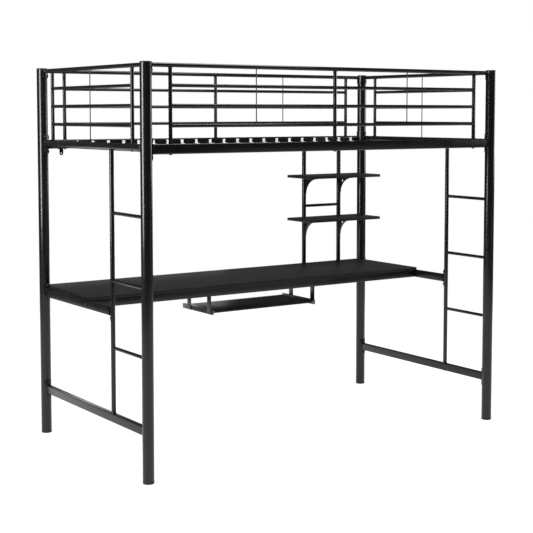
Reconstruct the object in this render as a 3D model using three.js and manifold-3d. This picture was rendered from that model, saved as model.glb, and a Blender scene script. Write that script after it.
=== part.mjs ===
// Loft bed with desk, in millimetres, +Z up.
//
// Four round steel posts carry a single bed at head height. Round-tube guards close it in on
// all four sides, a short ladder is built into each end beside the front post, and a desk runs
// the whole length below, with a two-shelf tower at its back and a keyboard tray that slides
// out towards the user (-Y). X runs along the length, the front is at -Y, and the origin is on
// the floor under the middle of the frame.

import * as THREE from 'three';
import { mergeVertices } from 'three/addons/utils/BufferGeometryUtils.js';
import Module from 'manifold-3d';

const wasm = await Module();
wasm.setup();

// ---- Driving dimensions -------------------------------------------------------------------

const FIT = 0.3; // gap left wherever two pieces meet

// Posts
const HEIGHT = 1800;
const LENGTH_CC = 1990; // post centre to post centre along the bed
const WIDTH_CC = 1044; // post centre to post centre across the bed
const POST_R = 25.4;
const POST_WALL = 1.5;
const CAP_T = 6;
const FOOT_T = 12;
const PLUG_DEPTH = 20;

// Rails: box section along the sides and at the bottom, round tube across the ends of the deck
const RAIL_W = 25;
const RAIL_WALL = 1.5;
const BED_RAIL_BOTTOM = 1408;
const BED_RAIL_H = 44;
const CROSS_RAIL_BOTTOM = 204;
const CROSS_RAIL_H = 38;
const END_RAIL_R = 15.25;

// Saddle plates: the curved plates, welded to the rail ends, that bolt against a round tube
const SADDLE_T = 2.5;
const SADDLE_HALF_ANGLE = THREE.MathUtils.degToRad(38);
const SADDLE_REACH = 25; // how far a plate runs past its rail, above and below

// Guards
const GUARD_RAIL_R = 9.5;
const GUARD_RAIL_Z = 1785;
const GUARD_BAR_R = 7.75;
const GUARD_BAR_PITCH = 85.5;
const GUARD_BARS = 3;
const GUARD_VERTICAL_R = 8.4;
const GUARD_WIRE_R = 2.5;
const GUARD_INSET_LONG = 118; // outer vertical to post centre, long sides
const GUARD_INSET_END = 120; // the same, at the ends
const GUARD_WIRE_AT = 438; // thin wires either side of the middle, long sides
const TUBE_WALL = 1.2;
const GUARD_SADDLE_DROP = 34; // from the top rail's centre to the foot of its saddle

// Slat deck
const SLATS = 22;
const SLAT_PITCH = 86;
const SLAT_W = 16;
const SLAT_H = 10;
const LEDGE_W = 22;
const LEDGE_T = 2.5;
const LEDGE_BOTTOM = 1410;
const LEDGE_END_GAP = 12;

// Ladders
const LADDER_Y = -205;
const LADDER_R = 10.5;
const RUNG_R = 8;
const RUNG_ZS = [539, 840.5, 1142];

// Desk
const DESK_TOP_Z = 738;
const DESK_T = 16;
const DESK_FRONT_Y = 24;
const DESK_BACK_Y = 534;
const DESK_HALF_X = 988;
const DESK_NOTCH_X = 965; // the back corners are cut away around the posts
const DESK_NOTCH_Y = 489;
const DESK_RAIL_H = 36;
const DESK_RAIL_W = 20;
const DESK_RAIL_SETBACK = 2;

// Shelf tower
const TOWER_XS = [584, 828];
const TOWER_R = 11.7;
const SHELF_HALF_X = 243;
const SHELF_OFFSET = 3; // the shelves sit this much nearer the middle of the desk
const SHELF_T = 15;
const SHELF_DEPTH = 220;
const SHELF_TOP_ZS = [1240, 1002];
const GUSSET_T = 4;
const GUSSET_Y = 114;
const GUSSET_Z = 94;
const GUSSET_TIP = 8;
const GUSSET_HOLE_R = 6.5;
const GUSSET_HOLE_IN = 26; // hole centre to the two straight edges
const TOWER_BAR_Z = 1062;
const TOWER_BAR_R = 8;

// Keyboard tray
const TRAY_FRONT_Y = 54;
const TRAY_BACK_Y = 338;
const TRAY_TOP_Z = 605;
const TRAY_T = 9;
const RUNNER_HALF_X = 316; // outer face of each runner
const RUNNER_W = 13;
const RUNNER_H = 24;
const RUNNER_BOTTOM_Z = 588;
const RUNNER_WALL = 2;
const RUNNER_PLAY = 1.2; // clearance between the sliding bar and the runner
const ARM_YS = [80, 272];
const ARM_W = 34;
const ARM_T = 3;
const ARM_FLANGE = 24;

// Lug under the back side rail
const LUG_X = -902;
const LUG_W = 20;
const LUG_DROP = 33;
const LUG_T = 3;
const LUG_HOLE_R = 3.5;

// ---- Finishes -----------------------------------------------------------------------------

const powderCoat = new THREE.MeshStandardMaterial({ color: 0x1c1c1d, roughness: 0.42, metalness: 0.3 });
const blackPlastic = new THREE.MeshStandardMaterial({ color: 0x141414, roughness: 0.55, metalness: 0 });
const laminate = new THREE.MeshStandardMaterial({ color: 0x262627, roughness: 0.38, metalness: 0 });
const slideSteel = new THREE.MeshStandardMaterial({ color: 0x3a3a3b, roughness: 0.4, metalness: 0.8 });

// ---- Solids -------------------------------------------------------------------------------

/** A closed three.js geometry as a manifold solid. */
function solid(geometry) {
  geometry.deleteAttribute('normal');
  geometry.deleteAttribute('uv');
  const merged = mergeVertices(geometry, 1e-4);
  const mesh = new wasm.Mesh({
    numProp: 3,
    vertProperties: new Float32Array(merged.attributes.position.array),
    triVerts: new Uint32Array(merged.index.array),
  });
  return new wasm.Manifold(mesh);
}

/** A manifold solid as a three.js geometry. */
function geometryOf(body) {
  const mesh = body.getMesh();
  const geometry = new THREE.BufferGeometry();
  geometry.setAttribute('position', new THREE.BufferAttribute(mesh.vertProperties, 3));
  geometry.setIndex(new THREE.BufferAttribute(mesh.triVerts, 1));
  geometry.computeVertexNormals();
  return geometry;
}

function join(bodies) {
  return bodies.reduce((whole, body) => whole.add(body));
}

/** A box between two corners. */
function box(x0, x1, y0, y1, z0, z1) {
  const geometry = new THREE.BoxGeometry(x1 - x0, y1 - y0, z1 - z0);
  geometry.translate((x0 + x1) / 2, (y0 + y1) / 2, (z0 + z1) / 2);
  return solid(geometry);
}

/** A round bar between two points. */
function rod(from, to, radius, sides) {
  const a = new THREE.Vector3(...from);
  const b = new THREE.Vector3(...to);
  const along = b.clone().sub(a);
  const geometry = new THREE.CylinderGeometry(radius, radius, along.length(), sides);
  const turn = new THREE.Quaternion().setFromUnitVectors(new THREE.Vector3(0, 1, 0), along.normalize());
  geometry.applyQuaternion(turn);
  geometry.translate(...a.add(b).multiplyScalar(0.5).toArray());
  return solid(geometry);
}

/** An outline in (u, v) extruded along X, with u along Y and v along Z. */
function plateAcrossX(shape, x0, x1) {
  const geometry = new THREE.ExtrudeGeometry(shape, {
    depth: x1 - x0,
    bevelEnabled: false,
    curveSegments: 10,
  });
  geometry.applyMatrix4(new THREE.Matrix4().set(0, 0, 1, x0, 1, 0, 0, 0, 0, 1, 0, 0, 0, 0, 0, 1));
  return solid(geometry);
}

/** Space around a round tube that a piece meeting it has to leave. */
function clearance([x, y], radius, z0, z1) {
  return rod([x, y, z0], [x, y, z1], radius + FIT, 24);
}

/** A curved plate lying on a round upright at [x, y], facing the given direction. */
function saddle([x, y], radius, facing, z0, z1) {
  const outer = radius + FIT + SADDLE_T;
  const shape = new THREE.Shape();
  shape.absarc(0, 0, outer, facing - SADDLE_HALF_ANGLE, facing + SADDLE_HALF_ANGLE, false);
  shape.absarc(0, 0, radius - 1, facing + SADDLE_HALF_ANGLE, facing - SADDLE_HALF_ANGLE, true);
  shape.closePath();
  const geometry = new THREE.ExtrudeGeometry(shape, {
    depth: z1 - z0,
    bevelEnabled: false,
    curveSegments: 3,
  });
  geometry.translate(x, y, z0);
  return solid(geometry);
}

/**
 * A box-section rail along X at y = 0 between two uprights at ends[i].x, with a saddle plate at
 * each end. An upright is { x, radius }.
 */
function boxRail(ends, width, z0, height, reach = SADDLE_REACH) {
  const [left, right] = ends;
  const z1 = z0 + height;
  const half = width / 2;
  const bar = box(left.x, right.x, -half, half, z0, z1);
  const bore = box(
    left.x - 1, right.x + 1, -half + RAIL_WALL, half - RAIL_WALL, z0 + RAIL_WALL, z1 - RAIL_WALL,
  );
  const plates = [
    saddle([left.x, 0], left.radius, 0, z0 - reach, z1 + reach),
    saddle([right.x, 0], right.radius, Math.PI, z0 - reach, z1 + reach),
  ];
  const room = ends.map((end) => clearance([end.x, 0], end.radius, z0 - 60, z1 + 60));
  return join([bar, ...plates]).subtract(bore).subtract(join(room));
}

/** Turns a piece made along X to run along Y, keeping +X as +Y. */
/** A round rail along X at y = 0 between two uprights, with a saddle plate at each end. */
function roundRail(ends, radius, z, reach = SADDLE_REACH) {
  const [left, right] = ends;
  const from = [left.x, 0, z];
  const to = [right.x, 0, z];
  const low = z - radius - reach;
  const high = z + radius + reach;
  const plates = [
    saddle([left.x, 0], left.radius, 0, low, high),
    saddle([right.x, 0], right.radius, Math.PI, low, high),
  ];
  const room = ends.map((end) => clearance([end.x, 0], end.radius, low - 60, high + 60));
  return join([rod(from, to, radius, 24), ...plates])
    .subtract(rod(from, to, radius - RAIL_WALL, 24))
    .subtract(join(room));
}

const QUARTER_TURN = [0, 0, 90];

// ---- Assembly -----------------------------------------------------------------------------

const loftBed = new THREE.Group();

function add(name, body, material) {
  const mesh = new THREE.Mesh(geometryOf(body), material);
  mesh.name = name;
  loftBed.add(mesh);
}

const halfL = LENGTH_CC / 2;
const halfW = WIDTH_CC / 2;
const bedRailTop = BED_RAIL_BOTTOM + BED_RAIL_H;
const crossRailTop = CROSS_RAIL_BOTTOM + CROSS_RAIL_H;
const deskBottom = DESK_TOP_Z - DESK_T;
const sides = [['left', -1], ['right', 1]];
const rows = [['front', -1], ['back', 1]];

function addPosts() {
  for (const [row, sy] of rows) {
    for (const [side, sx] of sides) {
      const at = [sx * halfL, sy * halfW];
      const bore = POST_R - POST_WALL;
      const plug = bore - FIT;
      const tubeBottom = FOOT_T + FIT;
      const tubeTop = HEIGHT - CAP_T - FIT;
      const tube = rod([...at, tubeBottom], [...at, tubeTop], POST_R, 24)
        .subtract(rod([...at, 0], [...at, HEIGHT], bore, 24));
      add(`post_${row}_${side}`, tube, powderCoat);

      const cap = rod([...at, HEIGHT - CAP_T], [...at, HEIGHT], POST_R, 24)
        .add(rod([...at, HEIGHT - CAP_T - PLUG_DEPTH], [...at, HEIGHT - 1], plug, 24));
      add(`post_cap_${row}_${side}`, cap, blackPlastic);

      const foot = rod([...at, 0], [...at, FOOT_T], POST_R, 24)
        .add(rod([...at, 1], [...at, FOOT_T + PLUG_DEPTH], plug, 24));
      add(`post_foot_${row}_${side}`, foot, blackPlastic);
    }
  }
}

function addBedRails() {
  const longEnds = [{ x: -halfL, radius: POST_R }, { x: halfL, radius: POST_R }];
  const shortEnds = [{ x: -halfW, radius: POST_R }, { x: halfW, radius: POST_R }];
  const long = boxRail(longEnds, RAIL_W, BED_RAIL_BOTTOM, BED_RAIL_H);
  const short = roundRail(shortEnds, END_RAIL_R, bedRailTop - END_RAIL_R).rotate(QUARTER_TURN);
  const cross = boxRail(shortEnds, RAIL_W, CROSS_RAIL_BOTTOM, CROSS_RAIL_H).rotate(QUARTER_TURN);
  for (const [row, sy] of rows) {
    add(`side_rail_${row}`, long.translate([0, sy * halfW, 0]), powderCoat);
  }
  for (const [side, sx] of sides) {
    add(`end_rail_${side}`, short.translate([sx * halfL, 0, 0]), powderCoat);
    add(`bottom_rail_${side}`, cross.translate([sx * halfL, 0, 0]), powderCoat);
  }
}

/**
 * A welded guard along X at y = 0: a top rail between two posts, three bars between the outer
 * verticals, and verticals that stand on the bed rail. All its tubes are hollow and open into
 * one another. A wire is { x, bottom }.
 */
function guard(half, inset, middleVerticals, wires) {
  const foot = bedRailTop + FIT;
  const barZs = Array.from({ length: GUARD_BARS }, (_, i) => GUARD_RAIL_Z - (i + 1) * GUARD_BAR_PITCH);
  const verticals = [-(half - inset), ...middleVerticals, half - inset];
  const tubes = [
    { from: [-half, 0, GUARD_RAIL_Z], to: [half, 0, GUARD_RAIL_Z], r: GUARD_RAIL_R, sides: 12 },
    ...barZs.map((z) => ({ from: [verticals[0], 0, z], to: [-verticals[0], 0, z], r: GUARD_BAR_R, sides: 8 })),
  ];
  const uprights = verticals.map((x) => ({
    from: [x, 0, foot], to: [x, 0, GUARD_RAIL_Z], r: GUARD_VERTICAL_R, sides: 8,
  }));
  const outer = [...tubes, ...uprights].map((t) => rod(t.from, t.to, t.r, t.sides));
  const bores = tubes.map((t) => rod(t.from, t.to, t.r - TUBE_WALL, t.sides));
  const openFoot = uprights.map((t) => rod([t.from[0], 0, foot - 1], t.to, t.r - TUBE_WALL, t.sides));
  const thin = wires.map((w) => rod([w.x, 0, w.bottom], [w.x, 0, GUARD_RAIL_Z], GUARD_WIRE_R, 6));
  const top = GUARD_RAIL_Z + GUARD_RAIL_R;
  const low = GUARD_RAIL_Z - GUARD_SADDLE_DROP;
  const plates = [saddle([-half, 0], POST_R, 0, low, top), saddle([half, 0], POST_R, Math.PI, low, top)];
  const room = [-half, half].map((x) => clearance([x, 0], POST_R, low - 10, top + 10));
  return join([...outer, ...thin, ...plates])
    .subtract(join([...bores, ...openFoot]))
    .subtract(join(room));
}

function addGuards() {
  const lowestBar = GUARD_RAIL_Z - GUARD_BARS * GUARD_BAR_PITCH;
  const longWires = [-GUARD_WIRE_AT, GUARD_WIRE_AT].map((x) => ({ x, bottom: lowestBar }));
  const endWires = [{ x: 0, bottom: bedRailTop + FIT }];
  const long = guard(halfL, GUARD_INSET_LONG, [0], longWires);
  const end = guard(halfW, GUARD_INSET_END, [], endWires).rotate(QUARTER_TURN);
  for (const [row, sy] of rows) {
    add(`guard_${row}`, long.translate([0, sy * halfW, 0]), powderCoat);
  }
  for (const [side, sx] of sides) {
    add(`guard_${side}`, end.translate([sx * halfL, 0, 0]), powderCoat);
  }
}

/** Slats welded across two angle ledges that bolt to the inner faces of the side rails. */
function addSlatDeck() {
  const railFace = halfW - RAIL_W / 2 - FIT;
  const slatBottom = LEDGE_BOTTOM + LEDGE_T;
  const slatTop = slatBottom + SLAT_H;
  const slatHalf = railFace - LEDGE_T - 1;
  const ledgeHalf = halfL - POST_R - LEDGE_END_GAP;
  const ledges = [-1, 1].flatMap((sy) => {
    const face = sy * railFace;
    const shelf = [face, face - sy * LEDGE_W].sort((a, b) => a - b);
    const web = [face, face - sy * LEDGE_T].sort((a, b) => a - b);
    return [
      box(-ledgeHalf, ledgeHalf, ...shelf, LEDGE_BOTTOM, slatBottom),
      box(-ledgeHalf, ledgeHalf, ...web, LEDGE_BOTTOM, slatTop),
    ];
  });
  const slats = Array.from({ length: SLATS }, (_, i) => {
    const x = (i - (SLATS - 1) / 2) * SLAT_PITCH;
    const half = SLAT_W / 2;
    const tube = box(x - half, x + half, -slatHalf, slatHalf, slatBottom, slatTop);
    const bore = box(
      x - half + TUBE_WALL, x + half - TUBE_WALL, -railFace, railFace,
      slatBottom + TUBE_WALL, slatTop - TUBE_WALL,
    );
    return tube.subtract(bore);
  });
  add('slat_deck', join([...ledges, ...slats]), powderCoat);
}

function addLadders() {
  for (const [side, sx] of sides) {
    const x = sx * halfL;
    const bottom = crossRailTop + FIT;
    const top = bedRailTop - 2 * END_RAIL_R - FIT;
    const upright = rod([x, LADDER_Y, bottom], [x, LADDER_Y, top], LADDER_R, 16)
      .subtract(rod([x, LADDER_Y, bottom - 1], [x, LADDER_Y, top + 1], LADDER_R - TUBE_WALL, 16));
    add(`ladder_upright_${side}`, upright, powderCoat);
    RUNG_ZS.forEach((z, i) => {
      const from = [x, -halfW, z];
      const to = [x, LADDER_Y, z];
      const rung = rod(from, to, RUNG_R, 12)
        .subtract(rod(from, to, RUNG_R - TUBE_WALL, 12))
        .subtract(clearance([x, -halfW], POST_R, z - 20, z + 20))
        .subtract(clearance([x, LADDER_Y], LADDER_R, z - 20, z + 20));
      add(`rung_${side}_${i + 1}`, rung, powderCoat);
    });
  }
}

function addDesk() {
  const supportBottom = deskBottom - FIT - CROSS_RAIL_H;
  const supportEnds = [{ x: LADDER_Y, radius: LADDER_R }, { x: halfW, radius: POST_R }];
  const support = boxRail(supportEnds, RAIL_W, supportBottom, CROSS_RAIL_H).rotate(QUARTER_TURN);
  for (const [side, sx] of sides) {
    add(`desk_support_${side}`, support.translate([sx * halfL, 0, 0]), powderCoat);
  }

  const railBottom = deskBottom - FIT - DESK_RAIL_H;
  const railTop = deskBottom - FIT;
  const frontY = DESK_FRONT_Y + DESK_RAIL_SETBACK;
  const frontHalf = halfL - RAIL_W / 2 - FIT;
  const front = box(-frontHalf, frontHalf, frontY, frontY + DESK_RAIL_W, railBottom, railTop)
    .subtract(box(
      -halfL, halfL, frontY + RAIL_WALL, frontY + DESK_RAIL_W - RAIL_WALL,
      railBottom + RAIL_WALL, railTop - RAIL_WALL,
    ));
  add('desk_front_rail', front, powderCoat);

  const backEnds = [{ x: -halfL, radius: POST_R }, { x: halfL, radius: POST_R }];
  const back = boxRail(backEnds, DESK_RAIL_W, railBottom, DESK_RAIL_H, 0);
  add('desk_back_rail', back.translate([0, halfW, 0]), powderCoat);

  const outline = box(-DESK_HALF_X, DESK_HALF_X, DESK_FRONT_Y, DESK_BACK_Y, deskBottom, DESK_TOP_Z);
  const notches = sides.map(([, sx]) => {
    const across = [sx * DESK_NOTCH_X, sx * (DESK_HALF_X + 10)].sort((a, b) => a - b);
    return box(...across, DESK_NOTCH_Y, DESK_BACK_Y + 10, deskBottom - 10, DESK_TOP_Z + 10);
  });
  add('desk_top', outline.subtract(join(notches)), laminate);
}

/** A quarter-round bracket in the YZ plane: straight along the shelf and along the upright. */
function gusset(x, y, top, drilled) {
  const shape = new THREE.Shape();
  shape.moveTo(y, top);
  shape.lineTo(y, top - GUSSET_Z);
  shape.absellipse(
    y - GUSSET_Y, top - GUSSET_Z, GUSSET_Y - GUSSET_TIP, GUSSET_Z - GUSSET_TIP, 0, Math.PI / 2, false, 0,
  );
  shape.lineTo(y - GUSSET_Y, top);
  shape.closePath();
  const plate = plateAcrossX(shape, x - GUSSET_T / 2, x + GUSSET_T / 2);
  const [holeY, holeZ] = [y - GUSSET_HOLE_IN, top - GUSSET_HOLE_IN];
  const hole = rod([x - GUSSET_T, holeY, holeZ], [x + GUSSET_T, holeY, holeZ], GUSSET_HOLE_R, 16);
  return drilled ? plate.subtract(hole) : plate;
}

function addShelfTower() {
  const faceY = halfW - TOWER_R - FIT;
  const middleX = (TOWER_XS[0] + TOWER_XS[1]) / 2 - SHELF_OFFSET;
  TOWER_XS.forEach((x, i) => {
    const side = sides[i][0];
    const bottom = DESK_TOP_Z + FIT;
    const top = BED_RAIL_BOTTOM - FIT;
    const upright = rod([x, halfW, bottom], [x, halfW, top], TOWER_R, 16)
      .subtract(rod([x, halfW, bottom - 1], [x, halfW, top + 1], TOWER_R - TUBE_WALL, 16));
    add(`shelf_upright_${side}`, upright, powderCoat);
    SHELF_TOP_ZS.forEach((shelfTop, level) => {
      const name = `shelf_gusset_${level === 0 ? 'upper' : 'lower'}_${side}`;
      add(name, gusset(x, faceY, shelfTop - SHELF_T - FIT, side === 'right'), powderCoat);
    });
  });
  SHELF_TOP_ZS.forEach((z, level) => {
    const board = box(middleX - SHELF_HALF_X, middleX + SHELF_HALF_X, faceY - SHELF_DEPTH, faceY, z - SHELF_T, z);
    add(level === 0 ? 'shelf_upper' : 'shelf_lower', board, laminate);
  });
  const [leftX, rightX] = TOWER_XS;
  const from = [leftX, halfW, TOWER_BAR_Z];
  const to = [rightX, halfW, TOWER_BAR_Z];
  const bar = rod(from, to, TOWER_BAR_R, 12)
    .subtract(rod(from, to, TOWER_BAR_R - TUBE_WALL, 12))
    .subtract(clearance([leftX, halfW], TOWER_R, TOWER_BAR_Z - 20, TOWER_BAR_Z + 20))
    .subtract(clearance([rightX, halfW], TOWER_R, TOWER_BAR_Z - 20, TOWER_BAR_Z + 20));
  add('shelf_crossbar', bar, powderCoat);
}

/** A small drilled tab that hangs under the back side rail, near its left end. */
function addLug() {
  const shape = new THREE.Shape();
  const half = LUG_W / 2;
  const top = BED_RAIL_BOTTOM - FIT;
  const low = BED_RAIL_BOTTOM - LUG_DROP + half;
  shape.moveTo(half, top);
  shape.lineTo(-half, top);
  shape.absarc(0, low, half, Math.PI, Math.PI * 2, false);
  shape.closePath();
  const flange = box(-LUG_T, LUG_W, -half, half, top - LUG_T, top);
  const tab = plateAcrossX(shape, -LUG_T, 0)
    .subtract(rod([-LUG_T - 1, 0, low], [1, 0, low], LUG_HOLE_R, 16))
    .add(flange)
    .rotate(QUARTER_TURN)
    .translate([LUG_X, halfW - RAIL_W / 2 + LUG_T, 0]);
  add('rail_lug', tab, powderCoat);
}

/** Channel runner with two drop arms, welded together and screwed up under the desk top. */
function hanger(sx) {
  const y0 = TRAY_FRONT_Y;
  const y1 = TRAY_BACK_Y;
  const z0 = RUNNER_BOTTOM_Z;
  const z1 = z0 + RUNNER_H;
  const armTop = deskBottom - FIT;
  const inner = RUNNER_HALF_X - RUNNER_W;
  const channel = box(inner, RUNNER_HALF_X, y0, y1, z0, z1)
    .subtract(box(
      inner - 1, RUNNER_HALF_X - RUNNER_WALL, y0 - 1, y1 + 1, z0 + RUNNER_WALL, z1 - RUNNER_WALL,
    ));
  const arms = ARM_YS.flatMap((y) => [
    box(RUNNER_HALF_X - 0.5, RUNNER_HALF_X + ARM_T, y - ARM_W / 2, y + ARM_W / 2, z0, armTop),
    box(
      RUNNER_HALF_X, RUNNER_HALF_X + ARM_FLANGE, y - ARM_W / 2, y + ARM_W / 2, armTop - ARM_T, armTop,
    ),
  ]);
  const right = join([channel, ...arms]);
  return sx > 0 ? right : right.mirror([1, 0, 0]);
}

function addKeyboardTray() {
  const trayHalf = RUNNER_HALF_X - RUNNER_W - FIT;
  for (const [side, sx] of sides) {
    add(`tray_hanger_${side}`, hanger(sx), powderCoat);
    const bar = [sx * (trayHalf + FIT), sx * (RUNNER_HALF_X - RUNNER_WALL - RUNNER_PLAY)];
    const slide = box(
      ...bar.sort((a, b) => a - b),
      TRAY_FRONT_Y + RUNNER_PLAY, TRAY_BACK_Y - RUNNER_PLAY,
      RUNNER_BOTTOM_Z + RUNNER_WALL + RUNNER_PLAY, RUNNER_BOTTOM_Z + RUNNER_H - RUNNER_WALL - RUNNER_PLAY,
    );
    add(`tray_slide_${side}`, slide, slideSteel);
  }
  const board = box(-trayHalf, trayHalf, TRAY_FRONT_Y, TRAY_BACK_Y, TRAY_TOP_Z - TRAY_T, TRAY_TOP_Z);
  add('keyboard_tray', board, laminate);
}

addPosts();
addBedRails();
addGuards();
addSlatDeck();
addLadders();
addDesk();
addShelfTower();
addLug();
addKeyboardTray();

export default loftBed;
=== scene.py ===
# %% [markdown]
# # Loft bed with desk
# A black steel loft bed: four round posts, a slatted deck at head height with tube guards round
# it, ladders built into the ends, and a desk with a shelf tower and a sliding keyboard tray
# below. This lesson dresses the bare engineering model. Each tube, rail and board is drawn again
# with the rounded corners, weld beads, bolts and surfaces that the real one has, in the place
# that the engineering model gives it. Everything is in metres.

# %% The engineering model
import math

import bmesh
import bpy
from mathutils import Matrix, Vector


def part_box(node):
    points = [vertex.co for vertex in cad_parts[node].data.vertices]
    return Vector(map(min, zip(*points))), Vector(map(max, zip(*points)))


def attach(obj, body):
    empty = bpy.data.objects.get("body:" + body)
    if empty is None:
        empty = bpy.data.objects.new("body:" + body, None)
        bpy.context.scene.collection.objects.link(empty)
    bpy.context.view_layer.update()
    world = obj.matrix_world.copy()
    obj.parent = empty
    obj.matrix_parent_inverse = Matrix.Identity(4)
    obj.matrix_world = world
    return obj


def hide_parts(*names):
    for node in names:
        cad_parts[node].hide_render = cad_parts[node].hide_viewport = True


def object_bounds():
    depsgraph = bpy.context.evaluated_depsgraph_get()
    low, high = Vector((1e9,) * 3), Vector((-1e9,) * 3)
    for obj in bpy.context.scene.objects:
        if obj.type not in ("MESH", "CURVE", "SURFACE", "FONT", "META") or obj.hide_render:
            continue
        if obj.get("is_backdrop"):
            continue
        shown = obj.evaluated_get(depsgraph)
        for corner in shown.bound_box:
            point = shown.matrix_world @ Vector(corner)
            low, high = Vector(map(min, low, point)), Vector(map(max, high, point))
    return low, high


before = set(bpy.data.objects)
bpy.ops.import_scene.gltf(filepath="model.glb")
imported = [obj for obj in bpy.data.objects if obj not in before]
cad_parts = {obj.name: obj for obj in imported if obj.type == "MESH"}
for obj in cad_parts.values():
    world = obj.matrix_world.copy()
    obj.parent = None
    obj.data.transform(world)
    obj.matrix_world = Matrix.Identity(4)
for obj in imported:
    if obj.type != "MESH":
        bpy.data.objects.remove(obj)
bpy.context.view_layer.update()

# %% [markdown]
# ## Camera
# A standing person looks along the bed from its left front corner, almost level. A long lens
# from about six metres keeps the posts nearly parallel. The camera tilts down a little, and a
# lens shift does the rest of lifting the bed into the upper part of the frame, because more
# tilt would make the posts lean.

# %% Camera
MM = 0.001

camera_data = bpy.data.cameras.new("camera")
camera_data.lens = 83.8
camera_data.sensor_width = 36
camera_data.shift_y = -0.11
camera = bpy.data.objects.new("camera", camera_data)
camera.location = (-3.514, -5.109, 1.582)
camera.rotation_euler = (math.radians(90 - 4.367), 0, math.radians(-34.31))
bpy.context.collection.objects.link(camera)
bpy.context.scene.camera = camera
print("camera at", tuple(round(v, 2) for v in camera.location))

# %% [markdown]
# ## Helpers for materials
# Colours are written as the hex codes a paint card would give, and one function turns them into
# the linear values that light is worked out in. One more adds a node with its settings and links.

# %% Material helpers
def linear(code):
    """A hex colour as linear RGBA."""
    channels = [int(code[i:i + 2], 16) / 255 for i in (1, 3, 5)]
    return (*[c / 12.92 if c <= 0.04045 else ((c + 0.055) / 1.055) ** 2.4 for c in channels], 1)


def node(tree, kind, settings=None, values=None, links=None):
    """Adds a node: settings are its properties, values its inputs, links its incoming wires."""
    made = tree.nodes.new(kind)
    for name, value in (settings or {}).items():
        setattr(made, name, value)
    for name, value in (values or {}).items():
        made.inputs[name].default_value = value
    for name, socket in (links or {}).items():
        tree.links.new(socket, made.inputs[name])
    return made


def finish_material(name, roughness, colour, shader_values, grain, mottle, depth, stretch=(1, 1, 1)):
    """
    A surface with two scales of pattern: grain (metres) is the size of its fine bumps, and
    mottle the size of the slow changes in tone and sheen. roughness and colour are the two ends
    of those changes, and depth is the height of the bumps in metres.
    """
    material = bpy.data.materials.new(name)
    material.use_nodes = True
    tree = material.node_tree
    shader = tree.nodes["Principled BSDF"]
    for socket, value in shader_values.items():
        shader.inputs[socket].default_value = value
    place = node(tree, "ShaderNodeTexCoord")
    turned = node(tree, "ShaderNodeMapping", values={"Scale": stretch},
                  links={"Vector": place.outputs["Object"]})
    fine = node(tree, "ShaderNodeTexNoise", values={"Scale": 1 / grain, "Detail": 3.0},
                links={"Vector": turned.outputs["Vector"]})
    slow = node(tree, "ShaderNodeTexNoise", values={"Scale": 1 / mottle, "Detail": 4.0},
                links={"Vector": place.outputs["Object"]})
    both = node(tree, "ShaderNodeMix", {"data_type": "FLOAT"}, {"Factor": 0.35},
                {"A": slow.outputs["Fac"], "B": fine.outputs["Fac"]})
    tone = node(tree, "ShaderNodeMapRange", values={"From Min": 0.35, "From Max": 0.65},
                links={"Value": both.outputs["Result"]})
    mixed = node(tree, "ShaderNodeMix", {"data_type": "RGBA"},
                 links={"Factor": tone.outputs["Result"]})
    mixed.inputs["A"].default_value = linear(colour[0])
    mixed.inputs["B"].default_value = linear(colour[1])
    sheen = node(tree, "ShaderNodeMapRange",
                 values={"From Min": 0.3, "From Max": 0.7, "To Min": roughness[0], "To Max": roughness[1]},
                 links={"Value": both.outputs["Result"]})
    bump = node(tree, "ShaderNodeBump", values={"Strength": 1.0, "Distance": depth},
                links={"Height": fine.outputs["Fac"]})
    tree.links.new(mixed.outputs["Result"], shader.inputs["Base Color"])
    tree.links.new(sheen.outputs["Result"], shader.inputs["Roughness"])
    tree.links.new(bump.outputs["Normal"], shader.inputs["Normal"])
    return material


# %% [markdown]
# ## Finishes
# - Powder coat: polyester powder baked on steel. It flows into a faint orange peel of a few
#   millimetres, which is what breaks up the long highlights on the tubes.
# - Laminate: resin-soaked black paper pressed on fibreboard, with a fine pore along the board.
#   It is duller than the steel.
# - Moulded plastic: polypropylene caps and feet with a spark-eroded texture, nearly matt.
# - Zinc plate: thin, pale, slightly streaky along the slide.
# - Black oxide: the bolts, a little paler and duller than the paint.
# - Natural nylon: the pale slat clips.

# %% The finishes
powder_coat = finish_material(
    "polyester powder coat, satin black", (0.18, 0.27), ("#0a0a0b", "#101011"),
    {"IOR": 1.5, "Specular IOR Level": 0.4}, grain=4.0 * MM, mottle=90 * MM, depth=0.012 * MM)
laminate = finish_material(
    "melamine laminate, black", (0.34, 0.44), ("#171718", "#1d1d1e"),
    {"IOR": 1.5, "Specular IOR Level": 0.2}, grain=3.0 * MM, mottle=140 * MM, depth=0.06 * MM,
    stretch=(0.15, 1, 1))  # the pore is drawn coarser than the real 0.3 mm so that it shows
moulded_plastic = finish_material(
    "moulded polypropylene, black", (0.50, 0.62), ("#080808", "#0d0d0d"),
    {"IOR": 1.49}, grain=1.2 * MM, mottle=30 * MM, depth=0.04 * MM)
zinc_plate = finish_material(
    "zinc plate, drawn steel", (0.30, 0.42), ("#77787a", "#8c8d90"),
    {"Metallic": 1.0}, grain=1.5 * MM, mottle=60 * MM, depth=0.02 * MM, stretch=(1, 0.08, 1))
black_oxide = finish_material(
    "black oxide steel", (0.30, 0.40), ("#111112", "#19191a"),
    {"IOR": 1.5, "Metallic": 0.3}, grain=1.0 * MM, mottle=12 * MM, depth=0.02 * MM)
natural_nylon = finish_material(
    "natural nylon, moulded", (0.38, 0.48), ("#e2e1da", "#efeee8"),
    {"IOR": 1.53}, grain=1.5 * MM, mottle=25 * MM, depth=0.02 * MM)
print("finishes:", [m.name for m in bpy.data.materials])

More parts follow.
